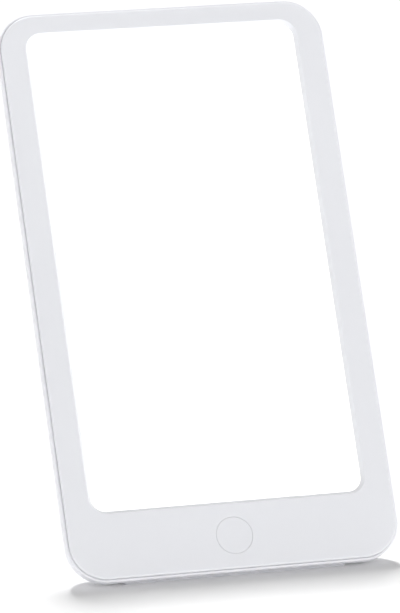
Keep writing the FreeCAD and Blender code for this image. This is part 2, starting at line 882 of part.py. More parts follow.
def pad_tongue(grow):
    """The tongue that keys the foot pad into the leg's end."""
    half = tongue_w / 2 + grow
    middle = back + leg_t / 2
    width = tongue_t / 2 + grow
    reach = leg_reach(0)
    blade = swing_open(box(-half, half, pin_y - reach, pin_y, middle - width, middle + width))
    return blade.common(level_slab(pad_t - (0 if grow else past), pad_t + tongue_d + grow))


def stand_foot_pad():
    reach = leg_reach(0) + past
    slab = swing_open(box(-pad_w / 2, pad_w / 2, pin_y - reach, pin_y, back, back + leg_t))
    pad = slab.common(level_slab(0, pad_t))
    return pad.fuse(pad_tongue(0)).removeSplitter()


def hinge_pin():
    return swept(pin_r, leg_w / 2 + leg_gap + pin_hold)


def hinge_washers():
    out = []
    inner = leg_w / 2 - washer_space + leg_gap
    outer = leg_w / 2 + leg_gap
    middle = (inner + outer) / 2
    for side in (-1, 1):
        x0 = side * middle - washer_t / 2
        ring = rod(knuckle_r - seat_gap, (x0, pin_y, pin_z), (x0 + washer_t, pin_y, pin_z))
        out.append(ring.cut(swept(pin_r + running_gap, leg_w)))
    return Part.makeCompound(out)


pieces = {
    "rear_housing": rear_housing(),
    "front_bezel": front_bezel(),
    "diffuser_gasket": diffuser_gasket(),
    "diffuser_panel": diffuser_panel(),
    "prism_film": guide_sheet(film_front - film_t, film_front),
    "light_guide": guide_sheet(guide_back, guide_front),
    "reflector_sheet": guide_sheet(reflector_front - reflector_t, reflector_front),
    "heat_spreader": heat_spreader(),
    "led_board_right": led_board(),
    "led_board_left": mirrored(led_board()),
    "leds_right": leds(),
    "leds_left": mirrored(leds()),
    "spreader_screws": spreader_screws(),
    "control_board": control_board(),
    "board_screws": board_screws(),
    "driver_inductor": driver_inductor(),
    "filter_capacitors": filter_capacitors(),
    "driver_chip": chip(-chip_x, board_y1 - chip_in),
    "controller_chip": chip(chip_x, board_up + chip_in),
    "led_connectors": led_connectors(),
    "led_wires_right": led_wires(),
    "led_wires_left": mirrored(led_wires()),
    "dc_jack_body": dc_jack_body(),
    "dc_jack_pin": dc_jack_pin(),
    "dc_jack_wires": jack_wires(),
    "tact_switch_body": tact_switch_body(),
    "switch_plunger": switch_plunger(),
    "power_button": power_button(),
    "case_screws": case_screws(),
    "front_foot_strip": foot_block(0),
    "stand_leg": stand_leg(),
    "stand_foot_pad": stand_foot_pad(),
    "hinge_pin": hinge_pin(),
    "hinge_washers": hinge_washers(),
}

os.makedirs("parts", exist_ok=True)
for name, shape in pieces.items():
    standing = stand_up(shape)
    standing.exportStep(f"parts/{name}.step")
    bounds = standing.BoundBox
    print(
        f"{name}: {len(standing.Solids)} solids, {standing.Volume:.1f} mm3, valid {standing.isValid()},"
        f" x {bounds.XMin:.1f}..{bounds.XMax:.1f}, y {bounds.YMin:.1f}..{bounds.YMax:.1f},"
        f" z {bounds.ZMin:.2f}..{bounds.ZMax:.1f}"
    )

# places that the record states, in the standing frame
marks = {
    "hinge axis": (0, pin_y, pin_z),
    "button face": (0, button_up, 0),
    "inlet mouth": (jack_mouth, jack_up, -jack_depth),
}
for name, place in marks.items():
    at = stand_up(Part.Vertex(*place)).Point
    print(f"{name}: {at.x:.4f}, {at.y:.4f}, {at.z:.4f}")
print(f"case thickness {-back:.2f}, leg opens {open_deg:.1f} degrees, leg end at y {recess_end():.2f}")
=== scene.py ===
import json
import math

import bpy
from mathutils import Matrix, Vector


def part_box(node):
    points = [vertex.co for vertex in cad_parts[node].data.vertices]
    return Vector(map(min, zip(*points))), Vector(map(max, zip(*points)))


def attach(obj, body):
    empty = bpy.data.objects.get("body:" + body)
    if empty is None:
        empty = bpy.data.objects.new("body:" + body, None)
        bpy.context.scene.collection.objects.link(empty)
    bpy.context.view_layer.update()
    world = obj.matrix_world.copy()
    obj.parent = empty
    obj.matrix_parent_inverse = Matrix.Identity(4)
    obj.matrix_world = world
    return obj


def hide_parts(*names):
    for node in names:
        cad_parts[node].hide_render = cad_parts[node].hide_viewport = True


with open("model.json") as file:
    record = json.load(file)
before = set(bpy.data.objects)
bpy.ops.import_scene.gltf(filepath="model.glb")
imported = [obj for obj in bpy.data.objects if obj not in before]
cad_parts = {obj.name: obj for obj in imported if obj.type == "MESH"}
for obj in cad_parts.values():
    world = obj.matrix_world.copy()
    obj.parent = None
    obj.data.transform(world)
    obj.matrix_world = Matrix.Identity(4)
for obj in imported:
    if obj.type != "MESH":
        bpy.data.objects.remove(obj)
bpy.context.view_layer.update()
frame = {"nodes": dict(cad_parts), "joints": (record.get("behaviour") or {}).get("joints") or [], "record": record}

mm = 0.001  # metres in a millimetre
joints = {joint["name"]: joint for joint in frame["joints"]}
lean = math.asin(-joints["button_press"]["axis"][2])  # the face leans back this far
layDown = Matrix.Rotation(lean - math.pi / 2, 3, "X")  # turns the leaning lamp so that its face looks up
print("frame loaded,", len(frame["nodes"]), "nodes")
print("the face leans back", round(math.degrees(lean), 1), "degrees")


def toLinear(code):
    # sRGB hex to the linear colour that the shaders take
    shares = [int(code[i:i + 2], 16) / 255 for i in (1, 3, 5)]
    return [s / 12.92 if s <= 0.04045 else ((s + 0.055) / 1.055) ** 2.4 for s in shares] + [1]


def perMetre(sizeMm):
    # texture scale that makes a pattern of this size
    return 1 / (sizeMm * mm)


def setInputs(tree, node, inputs):
    # an input takes a link where it is given another node's output, and a value otherwise
    for name, value in inputs.items():
        if isinstance(value, bpy.types.NodeSocket):
            tree.links.new(value, node.inputs[name])
        else:
            node.inputs[name].default_value = value


def addNode(tree, kind, inputs, stops=(), **settings):
    # one node with its settings, its values and its links; stops are the places and colours of a ramp
    node = tree.nodes.new("ShaderNode" + kind)
    for name, value in settings.items():
        setattr(node, name, value)
    for number, (place, colour) in enumerate(stops):
        node.color_ramp.elements[number].position = place
        node.color_ramp.elements[number].color = toLinear(colour)
    setInputs(tree, node, inputs)
    return node


def startMaterial(name, surface):
    # a new material; values that are the same all over go straight onto the shader's own sockets
    material = bpy.data.materials.new(name)
    material.use_nodes = True
    tree = material.node_tree
    tree.nodes.clear()
    shader = addNode(tree, "BsdfPrincipled", surface)
    addNode(tree, "OutputMaterial", {"Surface": shader.outputs["BSDF"]})
    place = addNode(tree, "TexCoord", {}).outputs["Object"]
    return material, tree, shader, place


def dress(tree, shader, tones=None, gloss=None, relief=None):
    # the nodes beside the shader: one pattern leads its two colours, one its roughness, one its relief
    if tones:
        pattern, span, colours = tones
        ramp = addNode(tree, "ValToRGB", {"Fac": pattern}, stops=zip(span, colours))
        setInputs(tree, shader, {"Base Color": ramp.outputs["Color"]})
    if gloss:
        pattern, (low, high) = gloss
        spread = addNode(tree, "MapRange", {"Value": pattern, "To Min": low, "To Max": high})
        setInputs(tree, shader, {"Roughness": spread.outputs["Result"]})
    if relief:
        pattern, deepMm = relief
        bump = addNode(tree, "Bump", {"Height": pattern, "Distance": deepMm * mm})
        setInputs(tree, shader, {"Normal": bump.outputs["Normal"]})


# where the two colours of a surface stand on the pattern that leads them
wholeSpan = (0, 1)
noiseSpan = (0.3, 0.7)  # nearly all of a noise pattern's values
patchSpan = (0.35, 0.65)  # the same, with clearer borders
speckSpan = (0.45, 0.75)  # high values only, for specks on a plain ground


def faceSpan(node):
    # lowest and highest corner of a CAD node, measured across the face, up it and out of it
    points = [layDown @ v.co for v in frame["nodes"][node].data.vertices]
    low = Vector([min(p[i] for p in points) for i in range(3)])
    high = Vector([max(p[i] for p in points) for i in range(3)])
    return low, high


def onFace(tree, place, start=(0, 0, 0)):
    # coordinates turned to the lamp's face: x across it, y up it, z out of it, from a start point
    return addNode(tree, "Mapping", {
        "Vector": place, "Rotation": layDown.to_euler(), "Location": [-v for v in start]}).outputs["Vector"]


# light goes this deep into white plastics and comes out as white
milkyDepth = {"Subsurface Radius": (1, 1, 1), "Subsurface Scale": 0.5 * mm}


# moulded ABS: even satin white with a very fine spark-eroded grain and faint flow marks of the mould
def mouldedAbs(name, finish):
    material, tree, shader, place = startMaterial(name, {
        "IOR": 1.54, "Subsurface Weight": 0.3, **milkyDepth})
    flow = addNode(tree, "TexNoise", {"Vector": place, "Scale": perMetre(finish["flowMm"]), "Detail": 1.5})
    hands = addNode(tree, "TexNoise", {"Vector": place, "Scale": perMetre(finish["handMm"]), "Detail": 4})
    grain = addNode(tree, "TexNoise", {"Vector": place, "Scale": perMetre(finish["grainMm"]), "Detail": 3})
    dress(tree, shader,
          tones=(flow.outputs["Fac"], noiseSpan, (finish["shade"], finish["colour"])),
          gloss=(hands.outputs["Fac"], finish["roughness"]),
          relief=(grain.outputs["Fac"], finish["grainDeepMm"]))
    return material


bezelFinish = {"colour": "#e9eaee", "shade": "#e6e7eb", "roughness": (0.38, 0.5),
               "flowMm": 90, "handMm": 25, "grainMm": 0.35, "grainDeepMm": 0.004}
housingFinish = {"colour": "#ebebef", "shade": "#e7e7ec", "roughness": (0.45, 0.6),
                 "flowMm": 70, "handMm": 30, "grainMm": 0.5, "grainDeepMm": 0.012}
buttonFinish = {"colour": "#e9eaee", "shade": "#e6e7eb", "roughness": (0.32, 0.42),
                "flowMm": 40, "handMm": 8, "grainMm": 0.3, "grainDeepMm": 0.003}
# the leg is the same white ABS as the case, drawn a little greyer: painted shade that keeps it from glaring under
# the back light
legFinishPaintedShade = {"colour": "#e2e2e7", "shade": "#dcdce2", "roughness": (0.45, 0.6),
             "flowMm": 50, "handMm": 22, "grainMm": 0.5, "grainDeepMm": 0.012}


# opal acrylic, lit from behind: an even white glow, a touch warmer beside the light strips
diffuserFinish = {"colour": "#c8c8c8", "middle": "#ffffff", "sides": "#fffaf2", "glow": 1.0,
                  "roughness": (0.3, 0.36), "hazeMm": 0.4, "sideShare": 0.86}


def opalAcrylic(name, finish):
    halfWide = faceSpan("diffuser_panel")[1].x
    material, tree, shader, place = startMaterial(name, {
        "Base Color": toLinear(finish["colour"]), "IOR": 1.49, "Emission Strength": finish["glow"]})
    laid = addNode(tree, "SeparateXYZ", {"Vector": onFace(tree, place)})
    fromMiddle = addNode(tree, "Math", {0: laid.outputs["X"]}, operation="ABSOLUTE")
    nearSide = addNode(tree, "MapRange", {
        "Value": fromMiddle.outputs["Value"],
        "From Min": finish["sideShare"] * halfWide, "From Max": halfWide})
    glow = addNode(tree, "ValToRGB", {"Fac": nearSide.outputs["Result"]},
                   stops=zip(wholeSpan, (finish["middle"], finish["sides"])))
    haze = addNode(tree, "TexNoise", {"Vector": place, "Scale": perMetre(finish["hazeMm"]), "Detail": 2})
    setInputs(tree, shader, {"Emission Color": glow.outputs["Color"]})
    dress(tree, shader, gloss=(haze.outputs["Fac"], finish["roughness"]))
    return material


# closed-cell foam: soft matt white with small round cells
def closedCellFoam(name, finish):
    material, tree, shader, place = startMaterial(name, {"IOR": 1.4, "Roughness": finish["roughness"]})
    cells = addNode(tree, "TexVoronoi", {"Vector": place, "Scale": perMetre(finish["cellMm"])})
    dress(tree, shader,
          tones=(cells.outputs["Distance"], wholeSpan, (finish["colour"], finish["shade"])),
          relief=(cells.outputs["Distance"], finish["cellDeepMm"]))
    return material


gasketFinish = {"colour": "#e8e8e6", "shade": "#cfcfcd", "roughness": 0.9, "cellMm": 0.4, "cellDeepMm": 0.05}


# extruded polyester film: clear, with fine prisms that show as straight shimmering lines
def prismFilm(name, finish):
    material, tree, shader, place = startMaterial(name, {
        "Base Color": toLinear(finish["colour"]), "IOR": 1.64, "Transmission Weight": finish["clear"]})
    # real prisms are 0.05 mm wide, drawn coarser so that they show; bands repeat at every tenth of pi
    prisms = addNode(tree, "TexWave", {
        "Vector": onFace(tree, place), "Scale": perMetre(finish["prismMm"]) * math.pi / 10},
        wave_profile="TRI", bands_direction="X")
    dress(tree, shader,
          gloss=(prisms.outputs["Fac"], finish["roughness"]),
          relief=(prisms.outputs["Fac"], finish["prismDeepMm"]))
    return material


filmFinish = {"colour": "#f2f6f8", "clear": 0.85, "prismMm": 0.5922, "prismDeepMm": 0.15,
              "roughness": (0.08, 0.18)}


# cast acrylic: clear sheet with a grid of white dots printed on its back, which send the light forward
def castAcrylic(name, finish):
    material, tree, shader, place = startMaterial(name, {"IOR": 1.49})
    dots = addNode(tree, "TexVoronoi", {
        "Vector": onFace(tree, place), "Scale": perMetre(finish["dotApartMm"]), "Randomness": 0},
        voronoi_dimensions="2D")
    edge = finish["dotMm"] / finish["dotApartMm"] / 2
    blur = finish["edgeBlur"] * edge
    clear = addNode(tree, "MapRange", {
        "Value": dots.outputs["Distance"], "From Min": edge - blur, "From Max": edge + blur,
        "To Min": finish["dotClear"], "To Max": finish["clear"]})
    setInputs(tree, shader, {"Transmission Weight": clear.outputs["Result"]})
    dress(tree, shader,
          tones=(dots.outputs["Distance"], (edge, edge + 2 * blur), (finish["ink"], finish["colour"])),
          gloss=(clear.outputs["Result"], finish["roughness"]))
    return material


guideFinish = {"colour": "#eef6f6", "ink": "#ffffff", "dotMm": 0.6, "dotApartMm": 1.5, "edgeBlur": 0.1,
               "clear": 0.95, "dotClear": 0.1, "roughness": (0.5, 0.05)}


# foamed polyester sheet: bright, matt and slightly cloudy
def foamedSheet(name, finish):
    material, tree, shader, place = startMaterial(name, {"IOR": 1.58})
    cloud = addNode(tree, "TexNoise", {"Vector": place, "Scale": perMetre(finish["cloudMm"]), "Detail": 3})
    dress(tree, shader,
          tones=(cloud.outputs["Fac"], noiseSpan, (finish["shade"], finish["colour"])),
          gloss=(cloud.outputs["Fac"], finish["roughness"]))
    return material


reflectorFinish = {"colour": "#f8f8f8", "shade": "#f0f0f0", "cloudMm": 3, "roughness": (0.5, 0.65)}


# rolled aluminium sheet: soft grey sheen, with thin straight lines from the rolling mill
def rolledAluminium(name, finish):
    material, tree, shader, place = startMaterial(name, {"Metallic": 1.0, "Anisotropic": 0.4})
    alongRolling = addNode(tree, "Mapping", {
        "Vector": onFace(tree, place), "Scale": (1, finish["lineMm"] / finish["lineLongMm"], 1)})
    lines = addNode(tree, "TexNoise", {
        "Vector": alongRolling.outputs["Vector"], "Scale": perMetre(finish["lineMm"]), "Detail": 2})
    dress(tree, shader,
          tones=(lines.outputs["Fac"], noiseSpan, (finish["shade"], finish["colour"])),
          gloss=(lines.outputs["Fac"], finish["roughness"]),
          relief=(lines.outputs["Fac"], finish["lineDeepMm"]))
    return material


spreaderFinish = {"colour": "#d4d5d7", "shade": "#c2c4c7", "roughness": (0.3, 0.45),
                  "lineMm": 0.3, "lineLongMm": 25, "lineDeepMm": 0.004}


# printed circuit board: glossy solder mask over copper tracks, which stand out under it; the tracks run
# round blocks half as wide and a quarter as high as the grid
def maskedBoard(name, finish):
    material, tree, shader, place = startMaterial(name, {
        "IOR": 1.5, "Coat Weight": 0.4, "Coat Roughness": 0.12})
    laid = onFace(tree, place)
    tracks = addNode(tree, "TexBrick", {
        "Vector": laid, "Scale": perMetre(finish["gridMm"]), "Mortar Size": finish["trackShare"],
        "Mortar Smooth": 0.1, "Color1": toLinear(finish["mask"]), "Color2": toLinear(finish["maskLight"]),
        "Mortar": toLinear(finish["track"])})
    weave = addNode(tree, "TexNoise", {"Vector": laid, "Scale": perMetre(finish["glassMm"]), "Detail": 2})
    setInputs(tree, shader, {"Base Color": tracks.outputs["Color"]})
    dress(tree, shader,
          gloss=(weave.outputs["Fac"], finish["roughness"]),
          relief=(tracks.outputs["Fac"], finish["trackDeepMm"]))
    return material


controlBoardFinish = {"mask": "#12482c", "maskLight": "#165434", "track": "#2c7a4c", "gridMm": 6,
                      "trackShare": 0.03, "trackDeepMm": 0.035, "glassMm": 0.6, "roughness": (0.22, 0.34)}
stripBoardFinish = {"mask": "#efefec", "maskLight": "#ebebe8", "track": "#dcdcd4", "gridMm": 5,
                    "trackShare": 0.03, "trackDeepMm": 0.035, "glassMm": 0.6, "roughness": (0.3, 0.42)}

ledRow = {"packageMm": 3.0, "pitchMm": 5.0}  # each LED's length along its strip, and the step to the next


# LED package: white nylon cup with a round pool of yellow phosphor gel in its open face
def ledPackage(name, finish):
    low, high = faceSpan("leds_right")
    material, tree, shader, place = startMaterial(name, {"IOR": 1.5, "Roughness": finish["roughness"]})
    laid = addNode(tree, "SeparateXYZ", {"Vector": onFace(tree, place, (0, low.y, (low.z + high.z) / 2))})
    step = addNode(tree, "Math", {0: laid.outputs["Y"], 1: ledRow["pitchMm"] * mm}, operation="MODULO")
    across = addNode(tree, "Math", {0: step.outputs["Value"], 1: ledRow["packageMm"] * mm / 2},
                     operation="SUBTRACT")
    pool = addNode(tree, "CombineXYZ", {"X": across.outputs["Value"], "Y": laid.outputs["Z"]})
    reach = addNode(tree, "VectorMath", {0: pool.outputs["Vector"]}, operation="LENGTH")
    inside = addNode(tree, "MapRange", {
        "Value": reach.outputs["Value"],
        "From Min": finish["poolRadiusMm"] * mm, "From Max": finish["deepRadiusMm"] * mm})
    grain = addNode(tree, "TexNoise", {"Vector": place, "Scale": perMetre(finish["grainMm"])})
    dress(tree, shader,
          tones=(inside.outputs["Result"], wholeSpan, (finish["cup"], finish["phosphor"])),
          relief=(grain.outputs["Fac"], finish["grainDeepMm"]))
    return material


ledFinish = {"cup": "#f4f4f0", "phosphor": "#f1d24a", "roughness": 0.4, "poolRadiusMm": 0.95,
             "deepRadiusMm": 0.855, "grainMm": 0.2, "grainDeepMm": 0.01}


# metal worked by a lathe or a die: fine even grain, a little wear where tools and fingers touch
def workedMetal(name, finish):
    material, tree, shader, place = startMaterial(name, {"Metallic": 1.0})
    tool = addNode(tree, "TexNoise", {"Vector": place, "Scale": perMetre(finish["toolMm"]), "Detail": 4})
    patches = addNode(tree, "TexNoise", {"Vector": place, "Scale": perMetre(finish["patchMm"]), "Detail": 2})
    dress(tree, shader,
          tones=(patches.outputs["Fac"], patchSpan, (finish["shade"], finish["colour"])),
          gloss=(tool.outputs["Fac"], finish["roughness"]),
          relief=(tool.outputs["Fac"], finish["toolDeepMm"]))
    return material


# zinc-plated steel: bright, slightly blue, softly mottled
zincSteelFinish = {"colour": "#c9ccd2", "shade": "#b4b8bf", "roughness": (0.22, 0.38), "toolMm": 0.25,
                   "toolDeepMm": 0.004, "patchMm": 1.2}
# ground steel rod: darker and closer grained than plated steel
groundSteelFinish = {"colour": "#b3b4b8", "shade": "#a2a3a8", "roughness": (0.18, 0.3), "toolMm": 0.15,
                     "toolDeepMm": 0.003, "patchMm": 3}
# nickel-plated brass: warm silver, polished by the plug
nickelFinish = {"colour": "#d8d3c6", "shade": "#c8c2b2", "roughness": (0.12, 0.22), "toolMm": 0.2,
                "toolDeepMm": 0.002, "patchMm": 2}


# drawn aluminium can in a shrunk plastic sleeve: bare metal top, dark sleeve round the side
def sleevedCan(name, finish):
    sleeveTop = faceSpan("filter_capacitors")[1].z - finish["bareMm"] * mm
    material, tree, shader, place = startMaterial(name, {})
    laid = addNode(tree, "SeparateXYZ", {"Vector": onFace(tree, place, (0, 0, sleeveTop))})
    bare = addNode(tree, "Math", {0: laid.outputs["Z"], 1: 0}, operation="GREATER_THAN")
    grain = addNode(tree, "TexNoise", {"Vector": place, "Scale": perMetre(finish["grainMm"]), "Detail": 2})
    setInputs(tree, shader, {"Metallic": bare.outputs["Value"]})
    dress(tree, shader,
          tones=(bare.outputs["Value"], wholeSpan, (finish["sleeve"], finish["metal"])),
          gloss=(grain.outputs["Fac"], finish["roughness"]))
    return material


canFinish = {"metal": "#c6c8cb", "sleeve": "#22262e", "bareMm": 0.5, "grainMm": 0.4,
             "roughness": (0.28, 0.42)}


# speckled or filled plastics and pressed powder: a dull ground with fine specks of another tone
def speckled(name, finish):
    material, tree, shader, place = startMaterial(name, {"IOR": finish["ior"]})
    specks = addNode(tree, "TexNoise", {"Vector": place, "Scale": perMetre(finish["speckMm"]), "Detail": 5})
    dress(tree, shader,
          tones=(specks.outputs["Fac"], speckSpan, (finish["ground"], finish["speck"])),
          gloss=(specks.outputs["Fac"], finish["roughness"]),
          relief=(specks.outputs["Fac"], finish["deepMm"]))
    return material


# pressed ferrite: dull grey-black, like fine stone
ferriteFinish = {"ground": "#26272a", "speck": "#3a3b3f", "speckMm": 0.3, "deepMm": 0.02, "ior": 2.0,
                 "roughness": (0.6, 0.8)}
# moulded epoxy: black, matt from the blasted mould
epoxyFinish = {"ground": "#18181a", "speck": "#29292c", "speckMm": 0.15, "deepMm": 0.008, "ior": 1.55,
               "roughness": (0.5, 0.65)}
# glass-filled polyester: black, with a dry, slightly streaked skin
jackFinish = {"ground": "#141416", "speck": "#232326", "speckMm": 0.4, "deepMm": 0.006, "ior": 1.57,
              "roughness": (0.38, 0.52)}
# black nylon: smooth with a low sheen
switchFinish = {"ground": "#1b1b1d", "speck": "#242427", "speckMm": 0.6, "deepMm": 0.004, "ior": 1.53,
                "roughness": (0.35, 0.45)}


# unfilled engineering plastics in their own milky colour: light goes a little way in
def milkyPlastic(name, finish):
    material, tree, shader, place = startMaterial(name, {
        "IOR": finish["ior"], "Subsurface Weight": 0.15, **milkyDepth})
    cloud = addNode(tree, "TexNoise", {"Vector": place, "Scale": perMetre(finish["cloudMm"]), "Detail": 2})
    dress(tree, shader,
          tones=(cloud.outputs["Fac"], noiseSpan, (finish["shade"], finish["colour"])),
          gloss=(cloud.outputs["Fac"], finish["roughness"]))
    return material


# natural nylon: creamy and waxy
connectorFinish = {"colour": "#ece6d2", "shade": "#e2dac2", "ior": 1.53, "cloudMm": 2,
                   "roughness": (0.35, 0.5)}
plungerFinish = {"colour": "#e8e6de", "shade": "#dedbd0", "ior": 1.53, "cloudMm": 1.5,
                 "roughness": (0.3, 0.42)}
# natural acetal: colder white than nylon, slippery and almost glossy
washerFinish = {"colour": "#eeeeea", "shade": "#e6e6e2", "ior": 1.48, "cloudMm": 1.5,
                "roughness": (0.22, 0.34)}


# PVC insulation: soft sheen, one red wire and one black wire beside each other
def pvcPair(name, node, axis, finish):
    low, high = faceSpan(node)
    number = "XYZ".index(axis)
    start = [0, 0, 0]
    start[number] = (low[number] + high[number]) / 2
    material, tree, shader, place = startMaterial(name, {"IOR": 1.53})
    laid = addNode(tree, "SeparateXYZ", {"Vector": onFace(tree, place, start)})
    upper = addNode(tree, "Math", {0: laid.outputs[axis], 1: 0}, operation="GREATER_THAN")
    drawn = addNode(tree, "TexNoise", {"Vector": place, "Scale": perMetre(finish["drawnMm"]), "Detail": 2})
    dress(tree, shader,
          tones=(upper.outputs["Value"], wholeSpan, (finish["black"], finish["red"])),
          gloss=(drawn.outputs["Fac"], finish["roughness"]))
    return material


wireFinish = {"red": "#b3241c", "black": "#1c1c1e", "drawnMm": 1.5, "roughness": (0.35, 0.5)}


# silicone rubber: pale grey, matt, with a dusty bloom that the fingers leave
def siliconeRubber(name, finish):
    material, tree, shader, place = startMaterial(name, {
        "IOR": 1.41, "Sheen Weight": 0.2, "Sheen Roughness": 0.5})
    bloom = addNode(tree, "TexNoise", {"Vector": place, "Scale": perMetre(finish["bloomMm"]), "Detail": 4})
    skin = addNode(tree, "TexNoise", {"Vector": place, "Scale": perMetre(finish["skinMm"]), "Detail": 2})
    dress(tree, shader,
          tones=(bloom.outputs["Fac"], noiseSpan, (finish["shade"], finish["colour"])),
          gloss=(bloom.outputs["Fac"], finish["roughness"]),
          relief=(skin.outputs["Fac"], finish["skinDeepMm"]))
    return material


rubberFinish = {"colour": "#c4c4c8", "shade": "#bbbbc0", "bloomMm": 6, "skinMm": 0.25, "skinDeepMm": 0.01,
                "roughness": (0.7, 0.85)}

finishes = {
    "front_bezel": mouldedAbs("mouldedAbsBezel", bezelFinish),
    "rear_housing": mouldedAbs("mouldedAbsHousing", housingFinish),
    "power_button": mouldedAbs("mouldedAbsButton", buttonFinish),
    "stand_leg": mouldedAbs("mouldedAbsLegPaintedShade", legFinishPaintedShade),
    "diffuser_panel": opalAcrylic("opalAcrylicLit", diffuserFinish),
    "diffuser_gasket": closedCellFoam("closedCellFoam", gasketFinish),
    "prism_film": prismFilm("prismFilm", filmFinish),
    "light_guide": castAcrylic("castAcrylicDotted", guideFinish),
    "reflector_sheet": foamedSheet("foamedPolyester", reflectorFinish),
    "heat_spreader": rolledAluminium("rolledAluminium", spreaderFinish),
    "control_board": maskedBoard("greenSolderMask", controlBoardFinish),
    "driver_inductor": speckled("pressedFerrite", ferriteFinish),
    "filter_capacitors": sleevedCan("sleevedAluminiumCan", canFinish),
    "led_connectors": milkyPlastic("naturalNylon", connectorFinish),
    "led_wires_right": pvcPair("pvcWiresRight", "led_wires_right", "Z", wireFinish),
    "led_wires_left": pvcPair("pvcWiresLeft", "led_wires_left", "Z", wireFinish),
    "dc_jack_wires": pvcPair("pvcWiresInlet", "dc_jack_wires", "Y", wireFinish),
    "dc_jack_body": speckled("glassFilledPolyester", jackFinish),
    "dc_jack_pin": workedMetal("nickelPlatedBrass", nickelFinish),
    "tact_switch_body": speckled("blackNylon", switchFinish),
    "switch_plunger": milkyPlastic("naturalNylonPlunger", plungerFinish),
    "hinge_pin": workedMetal("groundSteel", groundSteelFinish),
    "hinge_washers": milkyPlastic("naturalAcetal", washerFinish),
}
zincSteel = workedMetal("zincPlatedSteel", zincSteelFinish)
shared = (
    (maskedBoard("whiteSolderMask", stripBoardFinish), ("led_board_left", "led_board_right")),
    (ledPackage("ledPackage", ledFinish), ("leds_left", "leds_right")),
    (zincSteel, ("case_screws", "spreader_screws", "board_screws")),
    (speckled("mouldedEpoxy", epoxyFinish), ("driver_chip", "controller_chip")),
    (siliconeRubber("siliconeRubber", rubberFinish), ("front_foot_strip", "stand_foot_pad")),
)
for material, nodes in shared:
    for node in nodes:
        finishes[node] = material

for node, piece in frame["nodes"].items():
    for slot in piece.material_slots:
        slot.material = finishes[node]
print("finishes given to", len(finishes), "nodes")

bodyOf = {node: body for body, nodes in frame["record"]["behaviour"]["bodies"].items() for node in nodes}
legLean = math.radians(joints["stand_fold"]["range_deg"][1]) - lean  # the open leg leans back this far
edgeTurn = math.radians(35)  # edges that turn more than this stay sharp when the faces are smoothed
facing = 0.9  # a face looks along an axis when its normal goes this far along it
slack = mm / 100  # places that differ by less than this are level


def selectOnly(piece):
    bpy.ops.object.select_all(action="DESELECT")
    piece.select_set(True)
    bpy.context.view_layer.objects.active = piece


def applyPlace():
    # puts what was moved, turned or scaled into the mesh
    bpy.ops.object.transform_apply(location=True, rotation=True, scale=True)


def startBox(name, low, high):
    # a box between two corners, the only thing selected, with its place in its mesh
    bpy.ops.object.select_all(action="DESELECT")
    bpy.ops.mesh.primitive_cube_add(size=1, location=(low + high) / 2)
    piece = bpy.context.object
    piece.name = name
    piece.scale = high - low
    applyPlace()
    return piece


def copyAs(name):
    # a copy of the selected piece, with its own mesh
    bpy.ops.object.duplicate(linked=False)
    bpy.context.object.name = name
    return bpy.context.object


def clearChoice(kind):
    # no face or edge stays selected, so that the next ones can be marked
    bpy.ops.object.mode_set(mode="EDIT")
    bpy.ops.mesh.select_mode(type=kind)
    bpy.ops.mesh.select_all(action="DESELECT")
    bpy.ops.object.mode_set(mode="OBJECT")


def pickFaces(piece, wanted):
    # into edit mode with the faces selected that pass a test
    clearChoice("FACE")
    for face in piece.data.polygons:
        face.select = wanted(face)
    bpy.ops.object.mode_set(mode="EDIT")


def pickEdges(piece, wanted):
    # into edit mode with the edges selected whose two ends pass a test
    clearChoice("EDGE")
    for edge in piece.data.edges:
        a, b = (piece.data.vertices[i].co for i in edge.vertices)
        edge.select = wanted(a, b)
    bpy.ops.object.mode_set(mode="EDIT")


def cutAlong(piece, normal, places):
    # cuts every face where it crosses planes that stand at these distances along the normal
    bpy.ops.object.mode_set(mode="EDIT")
    for place in places:
        bpy.ops.mesh.select_all(action="SELECT")
        bpy.ops.mesh.bisect(plane_co=Vector(normal) * place, plane_no=normal)
    bpy.ops.object.mode_set(mode="OBJECT")


def extrudeBy(move):
    # pulls the selected faces out, or pushes them in, and leaves edit mode
    bpy.ops.mesh.extrude_region_move(TRANSFORM_OT_translate={"value": move})
    bpy.ops.object.mode_set(mode="OBJECT")


def applyBevel(piece, widthMm, segments=2):
    bevel = piece.modifiers.new("roundEdges", "BEVEL")
    bevel.width = widthMm * mm
    bevel.segments = segments
    bevel.limit_method = "ANGLE"
    bevel.angle_limit = edgeTurn
    bpy.ops.object.modifier_apply(modifier=bevel.name)


def repeatAlong(piece, count, step):
    # a row of copies in one mesh, each a step on from the last
    row = piece.modifiers.new("row", "ARRAY")
    row.count = count
    row.use_relative_offset = False
    row.use_constant_offset = True
    row.constant_offset_displace = step
    bpy.ops.object.modifier_apply(modifier=row.name)


def standUp(piece):
    # a piece drawn in the lying lamp leans back with it
    selectOnly(piece)
    piece.rotation_euler = layDown.inverted().to_euler()
    applyPlace()


def useFor(piece, node):
    # gives a finished piece the finish, the slot and the body of the CAD node that it stands for
    bpy.ops.object.shade_smooth_by_angle(angle=edgeTurn)
    if not piece.data.materials:
        piece.data.materials.append(finishes[node])
    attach(piece, bodyOf[node])
    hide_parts(node)


# rubber feet: moulded strips with grip ribs along the face that they stand on
ribs = {"count": 4, "grooveMm": 0.45, "deepMm": 0.4, "edgeMm": 0.25}


def pressRibs(piece, low, high):
    # grooves along the piece's length, evenly spaced across its underside
    groove = ribs["grooveMm"] * mm
    pitch = (high.y - low.y - groove * (ribs["count"] - 1)) / ribs["count"] + groove
    starts = [low.y + number * pitch - groove for number in range(1, ribs["count"])]
    cutAlong(piece, (0, 1, 0), [place for start in starts for place in (start, start + groove)])
    pickFaces(piece, lambda face: face.normal.z < -facing and any(
        start < face.center.y < start + groove for start in starts))
    extrudeBy((0, 0, ribs["deepMm"] * mm))


frontFoot = {"cornerMm": 1.4, "cornerSteps": 5}


